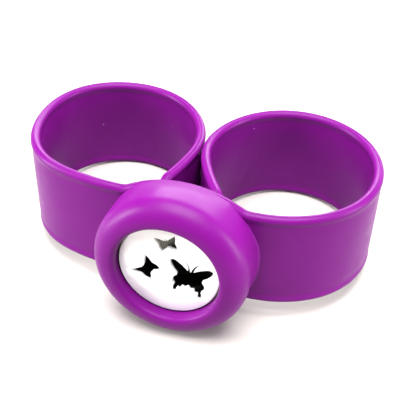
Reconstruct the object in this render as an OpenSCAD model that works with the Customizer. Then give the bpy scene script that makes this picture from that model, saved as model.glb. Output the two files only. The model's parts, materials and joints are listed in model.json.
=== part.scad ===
// Aromatherapy slap band: a silicone band with a coil-set spring strip inside,
// curled back into two loops, and a round head that holds a magnetic steel locket.
//
// Band frame: X to the right, Y to the back, Z up from the band's lower edge.
// The band's outer face behind the head lies on Y = 0, and the head faces -Y.

/* [Band] */
// Width of the band
band_w = 27; // [24:0.5:30]
// Radius of the rounded bead along each edge
bead_r = 1.25; // [1.1:0.05:1.4]
// Thickness of the panel between the beads
panel_t = 2.1; // [1.8:0.1:2.2]
// Half the length of the straight stretch behind the head
root_half = 16.5; // [15:0.5:18]
// Length of each link of a wing, along its outer face
link_len = 17.2; // [16.5:0.1:17.5]
// Free gap at each hinge line
link_gap = 0.1; // [0.06:0.02:0.16]

/* [Strip] */
// Width of the spring strip
strip_w = 21; // [18:1:22]
// Thickness of the spring strip
strip_t = 0.3; // [0.2:0.05:0.4]
// Clearance round the strip in its pocket
strip_clear = 0.05; // [0.04:0.01:0.1]

/* [Head] */
// Radius of the head
head_r = 19.2; // [18.5:0.1:20]
// Height of the head above the band's outer face
head_h = 12.8; // [12:0.1:14]
// Radius of its front outer edge
front_round = 5; // [3:0.5:5.5]
// Radius of its back edge
back_round = 2.5; // [1.5:0.5:3]
// How far the head's face looks up, in degrees
face_tilt = 3.4; // [0:0.2:5]
// How far the head looks to the left of the coils' common line, in degrees
head_yaw = 3.4; // [0:0.2:6]
// Radius of the locket's seat
seat_r = 12.9; // [12.8:0.05:13.2]
// Depth of the seat's floor above the band's outer face
seat_floor = 2.8; // [2.5:0.1:5]
// Radius of the rounded lip round the seat
lip_round = 0.6; // [0.3:0.1:1]

/* [Locket] */
// Radius of the locket
locket_r = 12.8; // [12.6:0.05:12.85]
// Height of the locket, cover included
locket_h = 7; // [6:0.1:8]
// Thickness of its steel wall
cup_wall = 0.8; // [0.6:0.1:1]
// Width of the thin rim round the cover
rim_w = 0.32; // [0.25:0.01:0.4]
// Radial clearance of the cover in the rim
cover_clear = 0.1; // [0.05:0.01:0.2]
// Thickness of the cover's plate
cover_t = 0.9; // [0.7:0.1:1.2]
// Height of each ring magnet
magnet_h = 1.2; // [0.8:0.1:1.5]
// Width of each ring magnet
magnet_w = 1; // [0.8:0.1:1.1]

/* [Hidden] */
$fn = 64;

// Turn of each link from the head to the tip, in degrees
LEFT_TURNS = [17.5, 48, 33, 50, 41, 43.5, 40, 16];
RIGHT_TURNS = [33.5, 41.5, 39.5, 42.5, 43.5, 44.5, 42, 22];
LINKS = len(LEFT_TURNS);

SILICONE = [0.62, 0.12, 0.68];
SPRING_STEEL = [0.55, 0.57, 0.6];
POLISHED_STEEL = [0.86, 0.87, 0.89];
MAGNET = [0.35, 0.36, 0.38];

// The wings' outer line: an arc for each link, that starts at a hinge line
function heading(turns, k) = k == 0 ? 0 : heading(turns, k - 1) + turns[k - 1];
function arc_r(turn) = link_len / (turn * PI / 180);
function on_arc(turns, k, share) =
    let (turn = turns[k] * share, chord = 2 * arc_r(turns[k]) * sin(turn / 2))
    hinge_at(turns, k) + chord * [cos(heading(turns, k) + turn / 2), sin(heading(turns, k) + turn / 2)];
function hinge_at(turns, k) = k == 0 ? [root_half, 0] : on_arc(turns, k - 1, 1);

// The same line as seen in the standing frame, turned so that both coils' backs are level
function yawed(p) = [p[0] * cos(head_yaw) + p[1] * sin(head_yaw), p[1] * cos(head_yaw) - p[0] * sin(head_yaw)];
function wing_line(turns, side) =
    [for (k = [0:LINKS - 1], share = [0:0.125:1]) let (p = on_arc(turns, k, share)) yawed([side * p[0], p[1]])];
ALL_POINTS = concat(wing_line(LEFT_TURNS, -1), wing_line(RIGHT_TURNS, 1));
MIN_X = min([for (p = ALL_POINTS) p[0]]);
MAX_X = max([for (p = ALL_POINTS) p[0]]);
BACK_Y = max([for (p = ALL_POINTS) p[1]]);

// The head hangs lower than the band, so the part leans back between the head's
// lower back edge and the coils' lower back edges
HEAD_LOW = [
    -back_round * cos(face_tilt) - (head_r - back_round) * sin(face_tilt),
    band_w / 2 + back_round * sin(face_tilt) - (head_r - back_round) * cos(face_tilt)
];
COIL_LOW = [BACK_Y - bead_r, bead_r];
SPAN = COIL_LOW - HEAD_LOW;
lean = atan2(SPAN[1], SPAN[0]) + asin((back_round - bead_r) / norm(SPAN));
lift = bead_r + COIL_LOW[0] * sin(lean) - COIL_LOW[1] * cos(lean);

// Middle of the footprint
face_cos = cos(lean + face_tilt) * cos(head_yaw);
front_y = band_w / 2 * sin(lean) - (head_h - front_round) * face_cos
    - (head_r - front_round) * sqrt(1 - face_cos * face_cos) - front_round;
back_y = COIL_LOW[0] * cos(lean) + (band_w - bead_r) * sin(lean) + bead_r;
middle = [(MIN_X + MAX_X) / 2, (front_y + back_y) / 2];

// Heights along the locket, from the floor of the seat
rim_in = locket_r - rim_w;
well_r = locket_r - cup_wall;
cover_z = locket_h - cover_t;
magnet_out = well_r - 0.1;
cutting = 1;

LEFT_BANDS = [for (k = [1:LINKS]) str("left_band_", k)];
RIGHT_BANDS = [for (k = [1:LINKS]) str("right_band_", k)];
LEFT_STRIPS = [for (k = [1:LINKS]) str("left_strip_", k)];
RIGHT_STRIPS = [for (k = [1:LINKS]) str("right_strip_", k)];

module standing() {
    translate([-middle[0], -middle[1], lift])
        rotate([-lean, 0, 0])
            rotate([0, 0, -head_yaw])
                children();
}

// Z along the head's axis, from the band's outer face to the front
module on_head() {
    standing()
        translate([0, 0, band_w / 2])
            rotate([90 - face_tilt, 0, 0])
                children();
}

module in_seat() {
    on_head()
        translate([0, 0, seat_floor])
            children();
}

// A link's own frame: its hinge line is the Z axis and the band runs along X
module on_link(turns, k, side) {
    hinge = hinge_at(turns, k);
    standing()
        mirror([side < 0 ? 1 : 0, 0, 0])
            translate([hinge[0], hinge[1], 0])
                rotate([0, 0, heading(turns, k)])
                    children();
}

// Sweeps an outline round a link's arc, clear of both hinge lines.
// In the outline, X is 0 on the band's outer line and grows to the outside.
module along_link(turn) {
    radius = arc_r(turn);
    trim = link_gap / 2 / radius * 180 / PI;
    translate([0, radius, 0])
        rotate([0, 0, trim - 90])
            rotate_extrude(angle = turn - 2 * trim, $fn = 96)
                translate([radius, 0])
                    children();
}

module band_section() {
    difference() {
        union() {
            for (z = [bead_r, band_w - bead_r])
                translate([-bead_r, z])
                    circle(r = bead_r, $fn = 24);
            translate([-bead_r - panel_t / 2, bead_r])
                square([panel_t, band_w - 2 * bead_r]);
        }
        strip_section(strip_clear);
    }
}

module strip_section(clear) {
    translate([-bead_r - strip_t / 2 - clear, (band_w - strip_w) / 2 - clear])
        square([strip_t + 2 * clear, strip_w + 2 * clear]);
}

module band_link(turns, k, side) {
    color(SILICONE)
        on_link(turns, k, side)
            along_link(turns[k])
                band_section();
}

module strip_link(turns, k, side) {
    color(SPRING_STEEL)
        on_link(turns, k, side)
            along_link(turns[k])
                strip_section(0);
}

// Sweeps an outline along the straight stretch behind the head
module along_root() {
    length = 2 * root_half - link_gap;
    translate([-length / 2, 0, 0])
        rotate([90, 0, 90])
            linear_extrude(length)
                mirror([1, 0])
                    children();
}

// Points of a quarter-round edge
function edge_arc(cx, cy, r, from, to, steps = 8) =
    [for (i = [0:steps]) let (a = from + (to - from) * i / steps) [cx + r * cos(a), cy + r * sin(a)]];

module head_outline() {
    polygon(concat(
        [[0, -bead_r]],
        [[head_r - back_round, -bead_r]],
        edge_arc(head_r - back_round, back_round, back_round, -90, 0, 6),
        edge_arc(head_r - front_round, head_h - front_round, front_round, 0, 90),
        edge_arc(seat_r + lip_round, head_h - lip_round, lip_round, 90, 180, 4),
        [[seat_r, seat_floor], [0, seat_floor]]
    ));
}

module head_moulding() {
    color(SILICONE)
        difference() {
            union() {
                intersection() {
                    on_head()
                        rotate_extrude($fn = 96)
                            head_outline();
                    head_front_space();
                }
                standing() along_root() solid_section();
            }
            standing() along_root() strip_section(strip_clear);
        }
}

// Everything in front of the band's outer face, and the front half of its straight stretch
module head_front_space() {
    root_reach = root_half - link_gap / 2;
    height = 3 * head_r + band_w;
    standing() {
        translate([-head_r - cutting, -2 * head_h, -head_r])
            cube([2 * (head_r + cutting), 2 * head_h - link_gap / 2, height]);
        translate([-root_reach, -head_h, -head_r])
            cube([2 * root_reach, head_h + bead_r, height]);
    }
}

module solid_section() {
    band_section();
    strip_section(strip_clear);
}

module strip_center() {
    color(SPRING_STEEL)
        standing() along_root() strip_section(0);
}

module locket_base() {
    color(POLISHED_STEEL)
        in_seat()
            difference() {
                cylinder(r = locket_r, h = locket_h - 0.1);
                translate([0, 0, cup_wall])
                    cylinder(r = well_r, h = locket_h);
                translate([0, 0, cover_z])
                    cylinder(r = rim_in, h = locket_h);
            }
}

module base_magnet() {
    color(MAGNET)
        in_seat()
            translate([0, 0, cup_wall])
                ring(magnet_out, magnet_out - magnet_w, magnet_h);
}

module cover_magnet() {
    color(MAGNET)
        in_seat()
            translate([0, 0, cover_z - magnet_h])
                ring(magnet_out, magnet_out - magnet_w, magnet_h);
}

module ring(outer, inner, height) {
    difference() {
        cylinder(r = outer, h = height);
        translate([0, 0, -cutting])
            cylinder(r = inner, h = height + 2 * cutting);
    }
}

module locket_cover() {
    color(POLISHED_STEEL)
        in_seat()
            translate([0, 0, cover_z])
                difference() {
                    cylinder(r = rim_in - cover_clear, h = cover_t);
                    translate([0, 0, -cutting])
                        linear_extrude(cover_t + 2 * cutting)
                            butterflies();
                }
}

// Cut-outs in the cover, seen from the front
module butterflies() {
    translate([5.2, -0.7]) rotate(-7) swallowtail();
    translate([-5.5, -1.2]) rotate(58) small_butterfly();
    translate([-0.6, 7.5]) rotate(18) scale(0.8) small_butterfly();
}

module both_sides() {
    children();
    mirror([1, 0]) children();
}

module swallowtail() {
    both_sides() {
        polygon(smooth([
            [-0.1, 1.7], [0.45, 1.25], [2.2, 2.6], [4.3, 3.6], [5.2, 3], [4.7, 1.3], [2.9, -0.5],
            [4, -2], [3.5, -3.6], [3.2, -6.2], [2.5, -4.2], [1.2, -4.1], [-0.1, -3.2]
        ]));
        translate([0.1, 1.4])
            rotate(-22)
                square([0.22, 2.6]);
    }
}

module small_butterfly() {
    both_sides()
        polygon(smooth([
            [-0.1, 1.05], [0.4, 0.75], [1.8, 1.3], [3.3, 2.3], [2.7, 0.6], [1.9, -0.5],
            [2.3, -1.6], [2, -2.75], [0.9, -1.8], [-0.1, -1.5]
        ]));
}

// Rounds an outline: each corner becomes a short curve between points near it
function smooth(points, ease = 0.22, steps = 4) =
    let (n = len(points))
    [for (i = [0:n - 1], j = [0:steps])
        let (
            corner = points[i],
            before = corner + ease * (points[(i + n - 1) % n] - corner),
            after = corner + ease * (points[(i + 1) % n] - corner),
            t = j / steps
        )
        (1 - t) * (1 - t) * before + 2 * t * (1 - t) * corner + t * t * after];

head_moulding();
strip_center();
locket_base();
base_magnet();
locket_cover();
cover_magnet();
for (k = [0:LINKS - 1]) {
    band_link(LEFT_TURNS, k, -1);
    band_link(RIGHT_TURNS, k, 1);
    strip_link(LEFT_TURNS, k, -1);
    strip_link(RIGHT_TURNS, k, 1);
}
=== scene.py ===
"""A silicone slap band with a magnetic steel locket, standing on its head and its two coils."""

import json
import math

import bmesh
import bpy
import numpy as np
from mathutils import Matrix, Vector

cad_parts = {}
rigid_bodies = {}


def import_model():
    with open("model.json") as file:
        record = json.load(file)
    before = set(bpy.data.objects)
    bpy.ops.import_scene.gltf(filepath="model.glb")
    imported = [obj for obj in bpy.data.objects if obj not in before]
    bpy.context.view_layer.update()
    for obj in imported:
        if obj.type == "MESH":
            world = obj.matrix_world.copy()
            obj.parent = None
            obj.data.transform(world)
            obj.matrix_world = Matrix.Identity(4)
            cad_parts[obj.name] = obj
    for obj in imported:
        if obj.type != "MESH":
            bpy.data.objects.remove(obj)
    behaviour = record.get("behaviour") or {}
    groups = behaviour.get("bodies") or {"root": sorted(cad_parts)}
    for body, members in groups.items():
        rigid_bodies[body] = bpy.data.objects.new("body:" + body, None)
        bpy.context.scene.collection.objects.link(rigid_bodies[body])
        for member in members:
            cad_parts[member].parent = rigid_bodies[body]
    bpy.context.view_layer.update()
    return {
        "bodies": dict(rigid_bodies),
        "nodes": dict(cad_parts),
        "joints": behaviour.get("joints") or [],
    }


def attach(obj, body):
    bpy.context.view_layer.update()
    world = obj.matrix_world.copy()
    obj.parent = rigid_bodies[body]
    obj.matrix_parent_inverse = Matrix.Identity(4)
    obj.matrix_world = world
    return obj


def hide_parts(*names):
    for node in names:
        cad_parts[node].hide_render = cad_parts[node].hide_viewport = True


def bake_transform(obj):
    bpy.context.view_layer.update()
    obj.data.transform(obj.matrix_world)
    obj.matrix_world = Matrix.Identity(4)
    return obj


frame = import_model()

MM = 0.001
SIDES = {"left": -1, "right": 1}
LINKS = sum(name.startswith("left_link") for name in frame["bodies"])

# Band section, as in the CAD model
BAND_W = 27 * MM
BEAD_R = 1.25 * MM

# Head, as in the CAD model
HEAD_R = 19.2 * MM
HEAD_H = 12.8 * MM
SEAT_R = 12.9 * MM
SEAT_FLOOR = 2.8 * MM


# ---------------------------------------------------------------- frame of the band

JOINTS = {j["name"]: j for j in frame["joints"]}


def chain(side):
    """The hinges of one wing, from the head to the tip."""
    return [next(j for j in frame["joints"] if j["child"] == f"{side}_link_{k + 1}") for k in range(LINKS)]


LEFT_ROOT = Vector(chain("left")[0]["pos_m"])
RIGHT_ROOT = Vector(chain("right")[0]["pos_m"])
UP = Vector(chain("left")[0]["axis"]).normalized()
RIGHT = (RIGHT_ROOT - LEFT_ROOT).normalized()
BACK = UP.cross(RIGHT)
ORIGIN = (LEFT_ROOT + RIGHT_ROOT) / 2
ROOT_HALF = (RIGHT_ROOT - LEFT_ROOT).length / 2

FACE = Vector(JOINTS["locket_pull"]["axis"]).normalized()
HEAD_CENTRE = ORIGIN + UP * (BAND_W / 2)
HEAD_UP = FACE.cross(RIGHT)


def turns(side):
    """How far each link turns, in radians: a hinge's range is half the sum of its two links' turns."""
    found = []
    for j in chain(side):
        found.append(2 * math.radians(j["range_deg"][1]) - (found[-1] if found else 0))
    found[0] = 2 * math.radians(chain(side)[0]["range_deg"][1])
    return found


def link_length(side):
    """The length of a link's arc, from the chord between its two hinges."""
    first, second = (Vector(j["pos_m"]) for j in chain(side)[:2])
    turn = turns(side)[0]
    return (second - first).length * (turn / 2) / math.sin(turn / 2)


# ---------------------------------------------------------------- mesh helpers


def make_mesh(name, points, faces, sharp_angle=40):
    """A smooth-shaded mesh with creases where faces meet at more than sharp_angle degrees."""
    mesh = bpy.data.meshes.new(name)
    mesh.from_pydata([tuple(p) for p in points], [], faces)
    mesh.validate()
    mesh.shade_smooth()
    obj = bpy.data.objects.new(name, mesh)
    bpy.context.scene.collection.objects.link(obj)
    mesh.set_sharp_from_angle(angle=math.radians(sharp_angle))
    return obj


def tube_faces(rings, around):
    """Faces of a closed tube of rings, with a cap at each end."""
    faces = []
    for i in range(rings - 1):
        for j in range(around):
            a = i * around + j
            b = i * around + (j + 1) % around
            faces.append((a, b, b + around, a + around))
    faces.append(tuple(reversed(range(around))))
    faces.append(tuple(range((rings - 1) * around, rings * around)))
    return faces


def ease(t):
    t = min(1.0, max(0.0, t))
    return t * t * (3 - 2 * t)


# ---------------------------------------------------------------- the band's section

RIDGE_H = 0.17 * MM
RIDGE_WIDTH = 5.5
RIDGE_AT = 84.0
NECK_HALF = 0.98 * MM
PANEL_HALF = 1.12 * MM
NECK_AT = 2.5 * MM
PANEL_AT = 5.0 * MM
BEAD_ANGLES = [0, 14, 28, 42, 54, 64, 71, 76, 80, 84, 88, 92, 97, 104, 114, 126, 140, 154, 168, 180]
FLANK = [1.7 * MM, 2.1 * MM, 2.5 * MM, 3.1 * MM, 4.0 * MM, 5.0 * MM, 7.0 * MM, 9.0 * MM, 11.0 * MM]


def flank_half(d):
    """Half the band's thickness at distance d from its edge, past the bead."""
    if d < NECK_AT:
        return BEAD_R + (NECK_HALF - BEAD_R) * ease((d - BEAD_R) / (NECK_AT - BEAD_R))
    return NECK_HALF + (PANEL_HALF - NECK_HALF) * ease((d - NECK_AT) / (PANEL_AT - NECK_AT))


def section(half):
    """Points (outward, up) round the band's section, from its middle, for a band 2 * half wide."""
    upper = []
    for angle in BEAD_ANGLES:
        bump = RIDGE_H * math.exp(-(((angle - RIDGE_AT) / RIDGE_WIDTH) ** 2))
        r = BEAD_R + bump
        a = math.radians(angle)
        upper.append((r * math.cos(a), half - BEAD_R + r * math.sin(a)))
    reach = half / (BAND_W / 2)
    outer = [(flank_half(d), half - d * reach) for d in reversed(FLANK)]
    inner = [(-n, z) for n, z in reversed(outer)]
    top = outer + upper + inner
    bottom = [(-n, -z) for n, z in top]
    return top + bottom


# ---------------------------------------------------------------- the band's route

STEP = 0.1 * MM
SMOOTHING = 6 * MM
# The route runs straight on for this far before its first hinge and past its last link
LEAD = 30 * MM
PRESS_REACH = 11 * MM
TOUCH_GAP = 0.02 * MM
# The coils can touch only past this many links, and every so many steps is looked at
TOUCH_FROM_LINK = 5
TOUCH_STRIDE = 5


class Route:
    """The outer line of one wing on the plane of the band's lower edge, smoothed over its hinges."""

    def __init__(self, side):
        self.sign = SIDES[side]
        self.length = link_length(side)
        count = int((LEAD + self.length * LINKS + LEAD) / STEP)
        self.at = -LEAD + STEP * np.arange(count)
        bend = np.zeros(count)
        for k, turn in enumerate(turns(side)):
            inside = (self.at >= k * self.length) & (self.at < (k + 1) * self.length)
            bend[inside] = turn / self.length
        window = np.ones(int(SMOOTHING / STEP))
        for _ in range(2):
            bend = np.convolve(bend, window / len(window), mode="same")
        self.heading = (np.cumsum(bend) - bend) * STEP
        halfway = self.heading + bend * STEP / 2
        x = np.concatenate([[0], np.cumsum(np.cos(halfway))[:-1]]) * STEP
        y = np.concatenate([[0], np.cumsum(np.sin(halfway))[:-1]]) * STEP
        start = np.searchsorted(self.at, -STEP / 2)
        self.x = x - x[start] + ROOT_HALF
        self.y = y
        self.touch_at = None

    def frame_at(self, s):
        """(point, outward direction) at distance s from the first hinge, in the row frame."""
        x = np.interp(s, self.at, self.x)
        y = np.interp(s, self.at, self.y)
        h = np.interp(s, self.at, self.heading)
        point = ORIGIN + RIGHT * (self.sign * x) + BACK * y
        outward = RIGHT * (self.sign * math.sin(h)) - BACK * math.cos(h)
        if self.touch_at is not None:
            point += outward * (self.press * math.exp(-(((s - self.touch_at) / PRESS_REACH) ** 2)))
        return point, outward


def press_together(left, right):
    """Lets the soft coils bulge until they touch: the CAD coils stand a little apart."""
    inner = range(int(LEAD / STEP + TOUCH_FROM_LINK * left.length / STEP), len(left.at), TOUCH_STRIDE)
    best = None
    for i in inner:
        gaps = np.hypot(right.x[inner.start:] + left.x[i], right.y[inner.start:] - left.y[i])
        j = int(np.argmin(gaps))
        if best is None or gaps[j] < best[0]:
            best = (gaps[j], left.at[i], right.at[inner.start + j])
    left.press = right.press = best[0] / 2 - TOUCH_GAP
    left.touch_at, right.touch_at = best[1:]


def place_section(point, outward, outline, thin=1.0):
    """Puts a section's points in the row frame."""
    middle = point - outward * BEAD_R + UP * (BAND_W / 2)
    return [middle + outward * (n * thin) + UP * z for n, z in outline]


# ---------------------------------------------------------------- the head's back outline

ARCH_TOP = 17.75 * MM
ARCH_R = 28.5 * MM
ARCH_FILLET = 4 * MM
ARCH_CENTRE = ARCH_TOP - ARCH_R


def arch(x):
    """Half the height of the head's back outline at x: an arc that runs into the band's edges."""
    x = abs(x)
    edge = BAND_W / 2
    rise = edge + ARCH_FILLET - ARCH_CENTRE
    end_x = math.sqrt((ARCH_R + ARCH_FILLET) ** 2 - rise**2)
    touch_x = end_x * ARCH_R / (ARCH_R + ARCH_FILLET)
    if x <= touch_x:
        return ARCH_CENTRE + math.sqrt(ARCH_R**2 - x * x)
    if x >= end_x:
        return edge
    return edge + ARCH_FILLET - math.sqrt(ARCH_FILLET**2 - (end_x - x) ** 2)


# ---------------------------------------------------------------- wings

RING_GAP = 0.8 * MM
SEAM_GAP = 0.04 * MM
TIP_CORNER = 4 * MM
# Silicone beyond the end of the spring strip
TIP_COVER = 0.6 * MM
# How far along a wing the head's arch still shapes the band's edges
ARCH_REACH = 7 * MM
ROOT_REACH = 15.9 * MM
ROOT_RINGS = 60
# The tip's edge never thins to nothing: the least squared share of the thickness
THINNEST = 0.0016
# Share of each skin's length, at either end, by which its start and stop points are set in from its ends
BLEND_INSET = 0.04
# Rings of a tip: evenly placed along its length, then close together round its edge
TIP_SPACES = 18
TIP_RINGS = 12
EDGE_SPACES = 16
EDGE_RINGS = 8


def stations(start, end):
    """Places of the rings between start and end, with a close pair at each end."""
    count = max(2, int((end - start - 2 * SEAM_GAP) / RING_GAP))
    inner = np.linspace(start + SEAM_GAP, end - SEAM_GAP, count)
    return [start] + list(inner) + [end]


def half_width(s, end):
    """Half the band's width at s, with rounded corners at the tip."""
    left = end - s
    if s < ARCH_REACH:
        return arch(ROOT_HALF + s)
    if left >= TIP_CORNER:
        return BAND_W / 2
    return BAND_W / 2 - TIP_CORNER + math.sqrt(max(0, TIP_CORNER**2 - (TIP_CORNER - left) ** 2))


def thinning(s, end):
    """Rounds the tip's edge: the section thins over the last bead radius."""
    left = min(BEAD_R, end - s)
    return math.sqrt(max(THINNEST, 1 - (1 - left / BEAD_R) ** 2))


def sweep(name, route, places, end):
    points = []
    outline_size = 0
    for s in places:
        point, outward = route.frame_at(s)
        outline = section(half_width(s, end))
        outline_size = len(outline)
        points += place_section(point, outward, outline, thinning(s, end))
    faces = tube_faces(len(places), outline_size)
    if route.sign > 0:
        faces = [tuple(reversed(f)) for f in faces]
    return make_mesh(name, points, faces)


def make_wing(side, route, material):
    length = route.length
    end = length * LINKS + TIP_COVER
    middles = [ROOT_REACH - ROOT_HALF] + [(k + 0.5) * length for k in range(LINKS)]
    for k in range(LINKS):
        piece = sweep(f"{side}_skin_{k + 1}", route, stations(middles[k], middles[k + 1]), end)
        piece.data.materials.append(material)
        inset = (middles[k + 1] - middles[k]) * BLEND_INSET
        start, _ = route.frame_at(middles[k] + inset)
        stop, _ = route.frame_at(middles[k + 1] - inset)
        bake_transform(piece)
        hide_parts(f"{side}_band_{k + 1}")
    places = [middles[-1], middles[-1] + SEAM_GAP]
    places += [end - (end - middles[-1]) * (1 - i / TIP_SPACES) for i in range(1, TIP_RINGS + 1)]
    places += [end - BEAD_R * (1 - math.sin(i * math.pi / EDGE_SPACES)) for i in range(1, EDGE_RINGS + 1)]
    tip = sweep(f"{side}_tip", route, places, end)
    tip.data.materials.append(material)
    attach(tip, f"{side}_link_{LINKS}")


# ---------------------------------------------------------------- the head

def make_root(material):
    """The straight stretch of band behind the head, whose edges follow the head's outline."""
    places = [-ROOT_REACH, -ROOT_REACH + SEAM_GAP]
    places += list(np.linspace(-ROOT_REACH + RING_GAP, ROOT_REACH - RING_GAP, ROOT_RINGS))
    places += [ROOT_REACH - SEAM_GAP, ROOT_REACH]
    points = []
    for x in places:
        outline = section(arch(x))
        points += place_section(ORIGIN + RIGHT * x, -BACK, outline)
    faces = [tuple(reversed(f)) for f in tube_faces(len(places), len(outline))]
    piece = make_mesh("root_skin", points, faces)
    piece.data.materials.append(material)
    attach(piece, "head")


# ---------------------------------------------------------------- the head's moulding

FRONT_ROUND = 5.2 * MM
LIP_ROUND = 1.1 * MM
WALL_BASE = -1.12 * MM
WALL_RISE = 6.5 * MM
FILLET = 0.5 * MM
SHALLOWER = 0.85
AROUND = 240
# Heights of the wall's rings over the band's outer face, in millimetres
WALL_HEIGHTS = [-1.12, -0.9, -0.6, -0.3, -0.1, 0, 0.1, 0.2, 0.35, 0.55, 0.8]
WALL_HEIGHTS += [1.2, 1.8, 2.5, 3.3, 4.2, 5.2, 6.4, 7.0]
BASE_INSET = 0.1 * MM
BASE_UNDER_WALL = 0.15 * MM
# How far in from the wall's foot the hidden base's two points lie
BASE_STEPS = (1.5 * MM, 0.3 * MM)
FRONT_STEPS = 16
LIP_STEPS = 10
# Depths of the rings on the seat's wall, below the head's front
SEAT_DEPTHS = (2 * MM, 4 * MM)
HALVINGS = 30


def flange_radius(angle):
    """Distance from the head's middle to the arch outline along an angle."""
    low, high = 0.0, 2 * HEAD_R
    for _ in range(HALVINGS):
        r = (low + high) / 2
        if r * abs(math.sin(angle)) > arch(r * math.cos(angle)):
            high = r
        else:
            low = r
    return low


def wall_outline(angle):
    """(radius, height) points of the head's moulding at one angle, from its hidden base to the seat."""
    flange = flange_radius(angle)
    base = min(flange - BASE_INSET, HEAD_R - BASE_UNDER_WALL)
    on_band = ease((flange - HEAD_R) / MM)
    depth = 1 - SHALLOWER * on_band
    points = [(base - step, WALL_BASE * depth) for step in BASE_STEPS]
    for h in WALL_HEIGHTS:
        height = h * MM * (depth if h < 0 else 1)
        rise = math.sin(math.pi / 2 * min(1, (height - WALL_BASE) / WALL_RISE))
        flare = on_band * max(0, 1 - max(0, height) / FILLET) ** 2 * FILLET
        points.append((base + (HEAD_R - base) * rise + flare, height))
    edge = HEAD_R - FRONT_ROUND
    for i in range(1, FRONT_STEPS + 1):
        a = math.pi / 2 * i / FRONT_STEPS
        points.append((edge + FRONT_ROUND * math.cos(a), HEAD_H - FRONT_ROUND + FRONT_ROUND * math.sin(a)))
    lip = SEAT_R + LIP_ROUND
    for i in range(LIP_STEPS + 1):
        a = math.pi / 2 * (1 + i / LIP_STEPS)
        points.append((lip + LIP_ROUND * math.cos(a), HEAD_H - LIP_ROUND + LIP_ROUND * math.sin(a)))
    points += [(SEAT_R, HEAD_H - depth) for depth in SEAT_DEPTHS]
    points.append((SEAT_R, SEAT_FLOOR))
    return points


def on_head(r, angle, h):
    """A point of the head: r and angle round its axis, h above the band's outer face."""
    return HEAD_CENTRE + RIGHT * (r * math.cos(angle)) + HEAD_UP * (r * math.sin(angle)) + FACE * h


def make_head(material):
    points = []
    for i in range(AROUND):
        angle = 2 * math.pi * i / AROUND
        outline = wall_outline(angle)
        points += [on_head(r, angle, h) for r, h in outline]
    rows = len(outline)
    faces = []
    for i in range(AROUND):
        j = (i + 1) % AROUND
        for k in range(rows - 1):
            faces.append((i * rows + k, j * rows + k, j * rows + k + 1, i * rows + k + 1))
    faces.append(tuple(i * rows for i in reversed(range(AROUND))))
    faces.append(tuple(i * rows + rows - 1 for i in range(AROUND)))
    piece = make_mesh("head_bezel", points, faces)
    piece.data.materials.append(material)
    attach(piece, "head")
    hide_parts("head_moulding")


# ---------------------------------------------------------------- the locket's cover

COVER_R = 12.38 * MM
COVER_T = 0.9 * MM
COVER_FRONT = 9.8 * MM
COVER_EDGE = 0.07
CORNER_EASE = 0.24
CORNER_STEPS = 4
DISC_POINTS = 180
COVER_WELD = 0.002 * MM
COVER_SHARP_ANGLE = 25

# Half outlines of the cut-outs in millimetres, from the top of the body round the right wings
SWALLOWTAIL = [
    (0.0, 1.3), (0.16, 1.6), (0.42, 2.6), (0.95, 3.6), (1.8, 4.4), (1.95, 4.25), (1.3, 3.4), (0.85, 2.4),
    (0.62, 1.55), (2.2, 2.75), (4.2, 3.8), (5.25, 3.5), (5.1, 2.0), (4.1, 0.5), (3.0, -0.5), (3.85, -1.5),
    (4.0, -2.9), (3.3, -3.7), (3.65, -4.5), (3.5, -6.1), (2.75, -5.9), (2.6, -4.5), (1.9, -4.75),
    (1.5, -3.7), (0.75, -4.0), (0.0, -3.2),
]
SMALL_BUTTERFLY = [
    (0.0, 0.9), (0.1, 1.1), (0.35, 1.9), (0.55, 1.85), (0.4, 0.95), (0.95, 1.25), (1.9, 1.75), (3.3, 2.45),
    (3.1, 1.2), (2.6, 0.0), (2.85, -1.3), (2.4, -2.8), (1.7, -2.3), (1.0, -2.05), (0.4, -1.45), (0.0, -1.65),
]
# (half outline, place of its middle, turn in degrees, scale)
CUT_OUTS = [
    (SWALLOWTAIL, (5.2, -0.7), -7, 1.0),
    (SMALL_BUTTERFLY, (-5.5, -1.2), 58, 1.0),
    (SMALL_BUTTERFLY, (-0.6, 7.5), 18, 0.8),
]


def rounded(points):
    """Rounds each corner of a closed outline with a short curve."""
    result = []
    for i, corner in enumerate(points):
        corner = Vector(corner)
        before = corner.lerp(Vector(points[i - 1]), CORNER_EASE)
        after = corner.lerp(Vector(points[(i + 1) % len(points)]), CORNER_EASE)
        for step in range(CORNER_STEPS + 1):
            t = step / CORNER_STEPS
            result.append((1 - t) ** 2 * before + 2 * t * (1 - t) * corner + t**2 * after)
    return result


def cut_out(half, middle, turn, scale):
    mirrored = [(-x, y) for x, y in reversed(half[1:-1])]
    turned = Matrix.Rotation(math.radians(turn), 2)
    return [turned @ (p * scale) + Vector(middle) for p in rounded(half + mirrored)]


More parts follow.
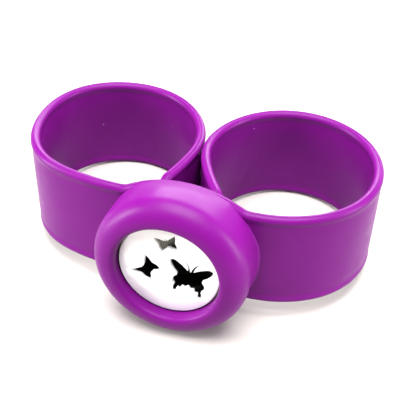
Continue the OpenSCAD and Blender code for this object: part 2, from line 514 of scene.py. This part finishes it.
def make_cover(material):
    """The cover's disc: a filled outline with cut-outs, with thickness and broken edges."""
    angles = [2 * math.pi * i / DISC_POINTS for i in range(DISC_POINTS)]
    disc = [Vector((math.cos(a), math.sin(a))) * (COVER_R / MM) for a in angles]
    curve = bpy.data.curves.new("cover_outline", "CURVE")
    curve.dimensions = "2D"
    curve.fill_mode = "BOTH"
    curve.extrude = COVER_T / MM / 2 - COVER_EDGE
    curve.bevel_depth = COVER_EDGE
    curve.bevel_resolution = 1
    curve.offset = -COVER_EDGE
    for outline in [disc] + [cut_out(*c) for c in CUT_OUTS]:
        spline = curve.splines.new("POLY")
        spline.points.add(len(outline) - 1)
        for point, (x, y) in zip(spline.points, outline):
            point.co = (x, y, 0, 1)
        spline.use_cyclic_u = True
    flat = bpy.data.objects.new("cover_outline", curve)
    bpy.context.scene.collection.objects.link(flat)
    drawn = flat.evaluated_get(bpy.context.evaluated_depsgraph_get())
    mesh = bpy.data.meshes.new_from_object(drawn)
    bpy.data.objects.remove(flat)
    middle = HEAD_CENTRE + FACE * (COVER_FRONT - COVER_T / 2)
    across = HEAD_UP.cross(FACE)
    points = [middle + (across * v.co.x + HEAD_UP * v.co.y + FACE * v.co.z) * MM for v in mesh.vertices]
    faces = [tuple(f.vertices) for f in mesh.polygons]
    piece = make_mesh("locket_grille", points, faces)
    clean = bmesh.new()
    clean.from_mesh(piece.data)
    bmesh.ops.remove_doubles(clean, verts=clean.verts, dist=COVER_WELD)
    clean.to_mesh(piece.data)
    clean.free()
    piece.data.set_sharp_from_angle(angle=math.radians(COVER_SHARP_ANGLE))
    piece.data.materials.append(material)
    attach(piece, "cover")
    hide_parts("locket_cover")


# ---------------------------------------------------------------- materials

# The silicone is darker than the part's listed colour, because the lights are strong
SILICONE = (0.128, 0.0036, 0.145)
SILICONE_DARK = (0.12, 0.0033, 0.137)
SILICONE_LIGHT = (0.136, 0.004, 0.153)
DUST = (0.7, 0.42, 0.72)
# The cover's near-white base colour is a painted reflection of the bright floor in its polished steel: it is
# drawn satin and mostly unmetallic, so that it stays white next to the purple lip
COVER_PAINTED_REFLECTION = (0.98, 0.98, 0.98)
# The cup inside the locket is drawn near-black steel: painted shade in the wells behind the cut-outs
CUP_INSIDE_PAINTED_SHADE = (0.1, 0.1, 0.085)
SPRING_STEEL = (0.52, 0.53, 0.56)
NICKEL = (0.7, 0.67, 0.62)

def shader(name, colour, roughness, metallic=0.0):
    material = bpy.data.materials.new(name)
    material.use_nodes = True
    node = material.node_tree.nodes["Principled BSDF"]
    node.inputs["Base Color"].default_value = (*colour, 1)
    node.inputs["Roughness"].default_value = roughness
    node.inputs["Metallic"].default_value = metallic
    return material


class Nodes:
    """Adds texture nodes to a material, in object coordinates."""

    def __init__(self, material):
        self.tree = material.node_tree
        self.principled = self.tree.nodes["Principled BSDF"]
        self.place = self.tree.nodes.new("ShaderNodeTexCoord").outputs["Object"]

    def link(self, source, socket):
        self.tree.links.new(source, self.principled.inputs[socket])

    def stretch(self, scale):
        node = self.tree.nodes.new("ShaderNodeMapping")
        node.inputs["Scale"].default_value = scale
        self.tree.links.new(self.place, node.inputs["Vector"])
        return node.outputs["Vector"]

    def noise(self, size, detail=2.0, place=None):
        """Noise between 0 and 1 with features of about the given size in metres."""
        node = self.tree.nodes.new("ShaderNodeTexNoise")
        node.inputs["Scale"].default_value = 1 / size
        node.inputs["Detail"].default_value = detail
        self.tree.links.new(place or self.place, node.inputs["Vector"])
        return node.outputs["Fac"]

    def specks(self, spacing, radius):
        """1 inside small dots, 0 outside."""
        node = self.tree.nodes.new("ShaderNodeTexVoronoi")
        node.inputs["Scale"].default_value = 1 / spacing
        self.tree.links.new(self.place, node.inputs["Vector"])
        return self.remap(node.outputs["Distance"], radius / spacing, 0.6 * radius / spacing, 0, 1)

    def remap(self, value, low, high, to_low, to_high):
        node = self.tree.nodes.new("ShaderNodeMapRange")
        sockets = ("From Min", "From Max", "To Min", "To Max")
        for socket, number in zip(sockets, (low, high, to_low, to_high)):
            node.inputs[socket].default_value = number
        self.tree.links.new(value, node.inputs["Value"])
        return node.outputs["Result"]

    def mix(self, factor, first, second):
        """A colour between two colours, or between a socket and a colour."""
        node = self.tree.nodes.new("ShaderNodeMix")
        node.data_type = "RGBA"
        self.tree.links.new(factor, node.inputs["Factor"])
        for name, value in (("A_Color", first), ("B_Color", second)):
            socket = next(s for s in node.inputs if s.identifier == name)
            if isinstance(value, tuple):
                socket.default_value = (*value, 1)
            else:
                self.tree.links.new(value, socket)
        return next(s for s in node.outputs if s.identifier == "Result_Color")

    def bump(self, height, strength, distance):
        node = self.tree.nodes.new("ShaderNodeBump")
        node.inputs["Strength"].default_value = strength
        node.inputs["Distance"].default_value = distance
        self.tree.links.new(height, node.inputs["Height"])
        self.link(node.outputs["Normal"], "Normal")


def silicone_material():
    """Satin purple silicone: a faint pebble, slow colour changes and a little pale dust."""
    material = shader("silicone", SILICONE, 0.4)
    nodes = Nodes(material)
    nodes.principled.inputs["Specular IOR Level"].default_value = 0.1
    tone = nodes.remap(nodes.noise(14 * MM), 0.3, 0.7, 0, 1)
    plain = nodes.mix(tone, SILICONE_DARK, SILICONE_LIGHT)
    nodes.link(nodes.mix(nodes.specks(7 * MM, 0.17 * MM), plain, DUST), "Base Color")
    nodes.link(nodes.remap(nodes.noise(5 * MM, 4), 0.3, 0.7, 0.33, 0.43), "Roughness")
    nodes.bump(nodes.noise(0.5 * MM, 3), 0.12, 0.05 * MM)
    return material


def steel_material(name, colour, roughness, grain, mirror=1.0):
    """Bare steel: grain is the size of its marks, mirror how much of it reflects sharply."""
    material = shader(name, colour, roughness, mirror)
    nodes = Nodes(material)
    marks = nodes.noise(grain, 4, nodes.stretch((1, 1, 0.15)))
    nodes.link(nodes.remap(marks, 0.2, 0.8, 0.9 * roughness, 1.1 * roughness), "Roughness")
    if mirror == 1:
        nodes.bump(marks, 0.02, 0.005 * MM)
    tone = nodes.remap(nodes.noise(8 * MM), 0.3, 0.7, 0, 1)
    nodes.link(nodes.mix(tone, tuple(0.96 * c for c in colour), colour), "Base Color")
    return material


def dress_cad_nodes(silicone):
    """Gives every CAD node that is still drawn as it is its own finish."""
    # The polished cover is drawn near-white: a painted reflection of the bright floor
    painted_reflection_cover = steel_material("polished_steel", COVER_PAINTED_REFLECTION, 0.3, 1.5 * MM, 0.2)
    # The cup's near-black is painted shade in the wells behind the cut-outs
    inside = steel_material("drawn_steel_painted_shade", CUP_INSIDE_PAINTED_SHADE, 0.25, 0.8 * MM)
    spring = steel_material("spring_steel", SPRING_STEEL, 0.3, 0.4 * MM)
    nickel = steel_material("nickel_plate", NICKEL, 0.18, 0.6 * MM)
    finishes = {"locket_cover": painted_reflection_cover, "locket_base": inside, "strip": spring, "magnet": nickel}
    for name, node in frame["nodes"].items():
        kind = next((k for k in finishes if k in name), None)
        node.data.materials.clear()
        node.data.materials.append(finishes.get(kind, silicone))
    return painted_reflection_cover


# ---------------------------------------------------------------- floor, lights and camera

CAMERA_AT = (0.03737, -0.13992, 0.1590)
LOOK_AT = (0.00323, 0.00022, 0.01445)
CAMERA_ROLL = 0.25
LENS = 67.5


def make_camera():
    data = bpy.data.cameras.new("camera")
    data.lens = LENS
    data.sensor_width = 36
    data.clip_start = 0.01
    camera = bpy.data.objects.new("camera", data)
    camera.location = CAMERA_AT
    aim = (Vector(LOOK_AT) - Vector(CAMERA_AT)).to_track_quat("-Z", "Y").to_matrix().to_4x4()
    roll = Matrix.Rotation(math.radians(CAMERA_ROLL), 4, "Z")
    camera.matrix_world = Matrix.Translation(CAMERA_AT) @ aim @ roll
    bpy.context.scene.collection.objects.link(camera)
    bpy.context.scene.camera = camera


FLOOR_COLOUR = (0.44, 0.415, 0.395)
FLOOR_REACH = 3.0
SKY_COLOUR = (0.8, 0.88, 1, 1)
SKY_STRENGTH = 0.05
# (name, place, size, watts); each faces the middle of the part
LIGHTS = [
    ("top_light", (0.0, -0.08, 1.2), (1.0, 0.9), 52),
    ("back_light", (0.0, 1.1, 0.5), (1.2, 0.6), 34),
    ("left_light", (-0.6, -0.16, 0.17), (0.12, 0.5), 8),
    ("right_light", (0.6, 0.0, 0.12), (0.1, 0.5), 6),
]


def make_floor():
    mesh = bpy.data.meshes.new("floor")
    signs = [(-1, -1), (1, -1), (1, 1), (-1, 1)]
    mesh.from_pydata([(x * FLOOR_REACH, y * FLOOR_REACH, 0) for x, y in signs], [], [(0, 1, 2, 3)])
    floor = bpy.data.objects.new("floor", mesh)
    bpy.context.scene.collection.objects.link(floor)
    mesh.materials.append(shader("paper_floor", FLOOR_COLOUR, 0.9))


def make_light(name, at, size, watts):
    data = bpy.data.lights.new(name, "AREA")
    data.shape = "RECTANGLE"
    data.size, data.size_y = size
    data.energy = watts
    lamp = bpy.data.objects.new(name, data)
    lamp.location = at
    lamp.rotation_euler = (-Vector(at)).to_track_quat("-Z", "Y").to_euler()
    bpy.context.scene.collection.objects.link(lamp)


def make_studio():
    world = bpy.data.worlds.new("studio")
    world.use_nodes = True
    sky = world.node_tree.nodes["Background"]
    sky.inputs["Color"].default_value = SKY_COLOUR
    sky.inputs["Strength"].default_value = SKY_STRENGTH
    bpy.context.scene.world = world
    for name, at, size, watts in LIGHTS:
        make_light(name, at, size, watts)
    bpy.context.scene.view_settings.view_transform = "Standard"


# ---------------------------------------------------------------- assembly

make_camera()
make_floor()
make_studio()

silicone = silicone_material()
make_cover(dress_cad_nodes(silicone))
make_root(silicone)
make_head(silicone)
routes = {side: Route(side) for side in SIDES}
press_together(routes["left"], routes["right"])
for wing_side, wing_route in routes.items():
    make_wing(wing_side, wing_route, silicone)
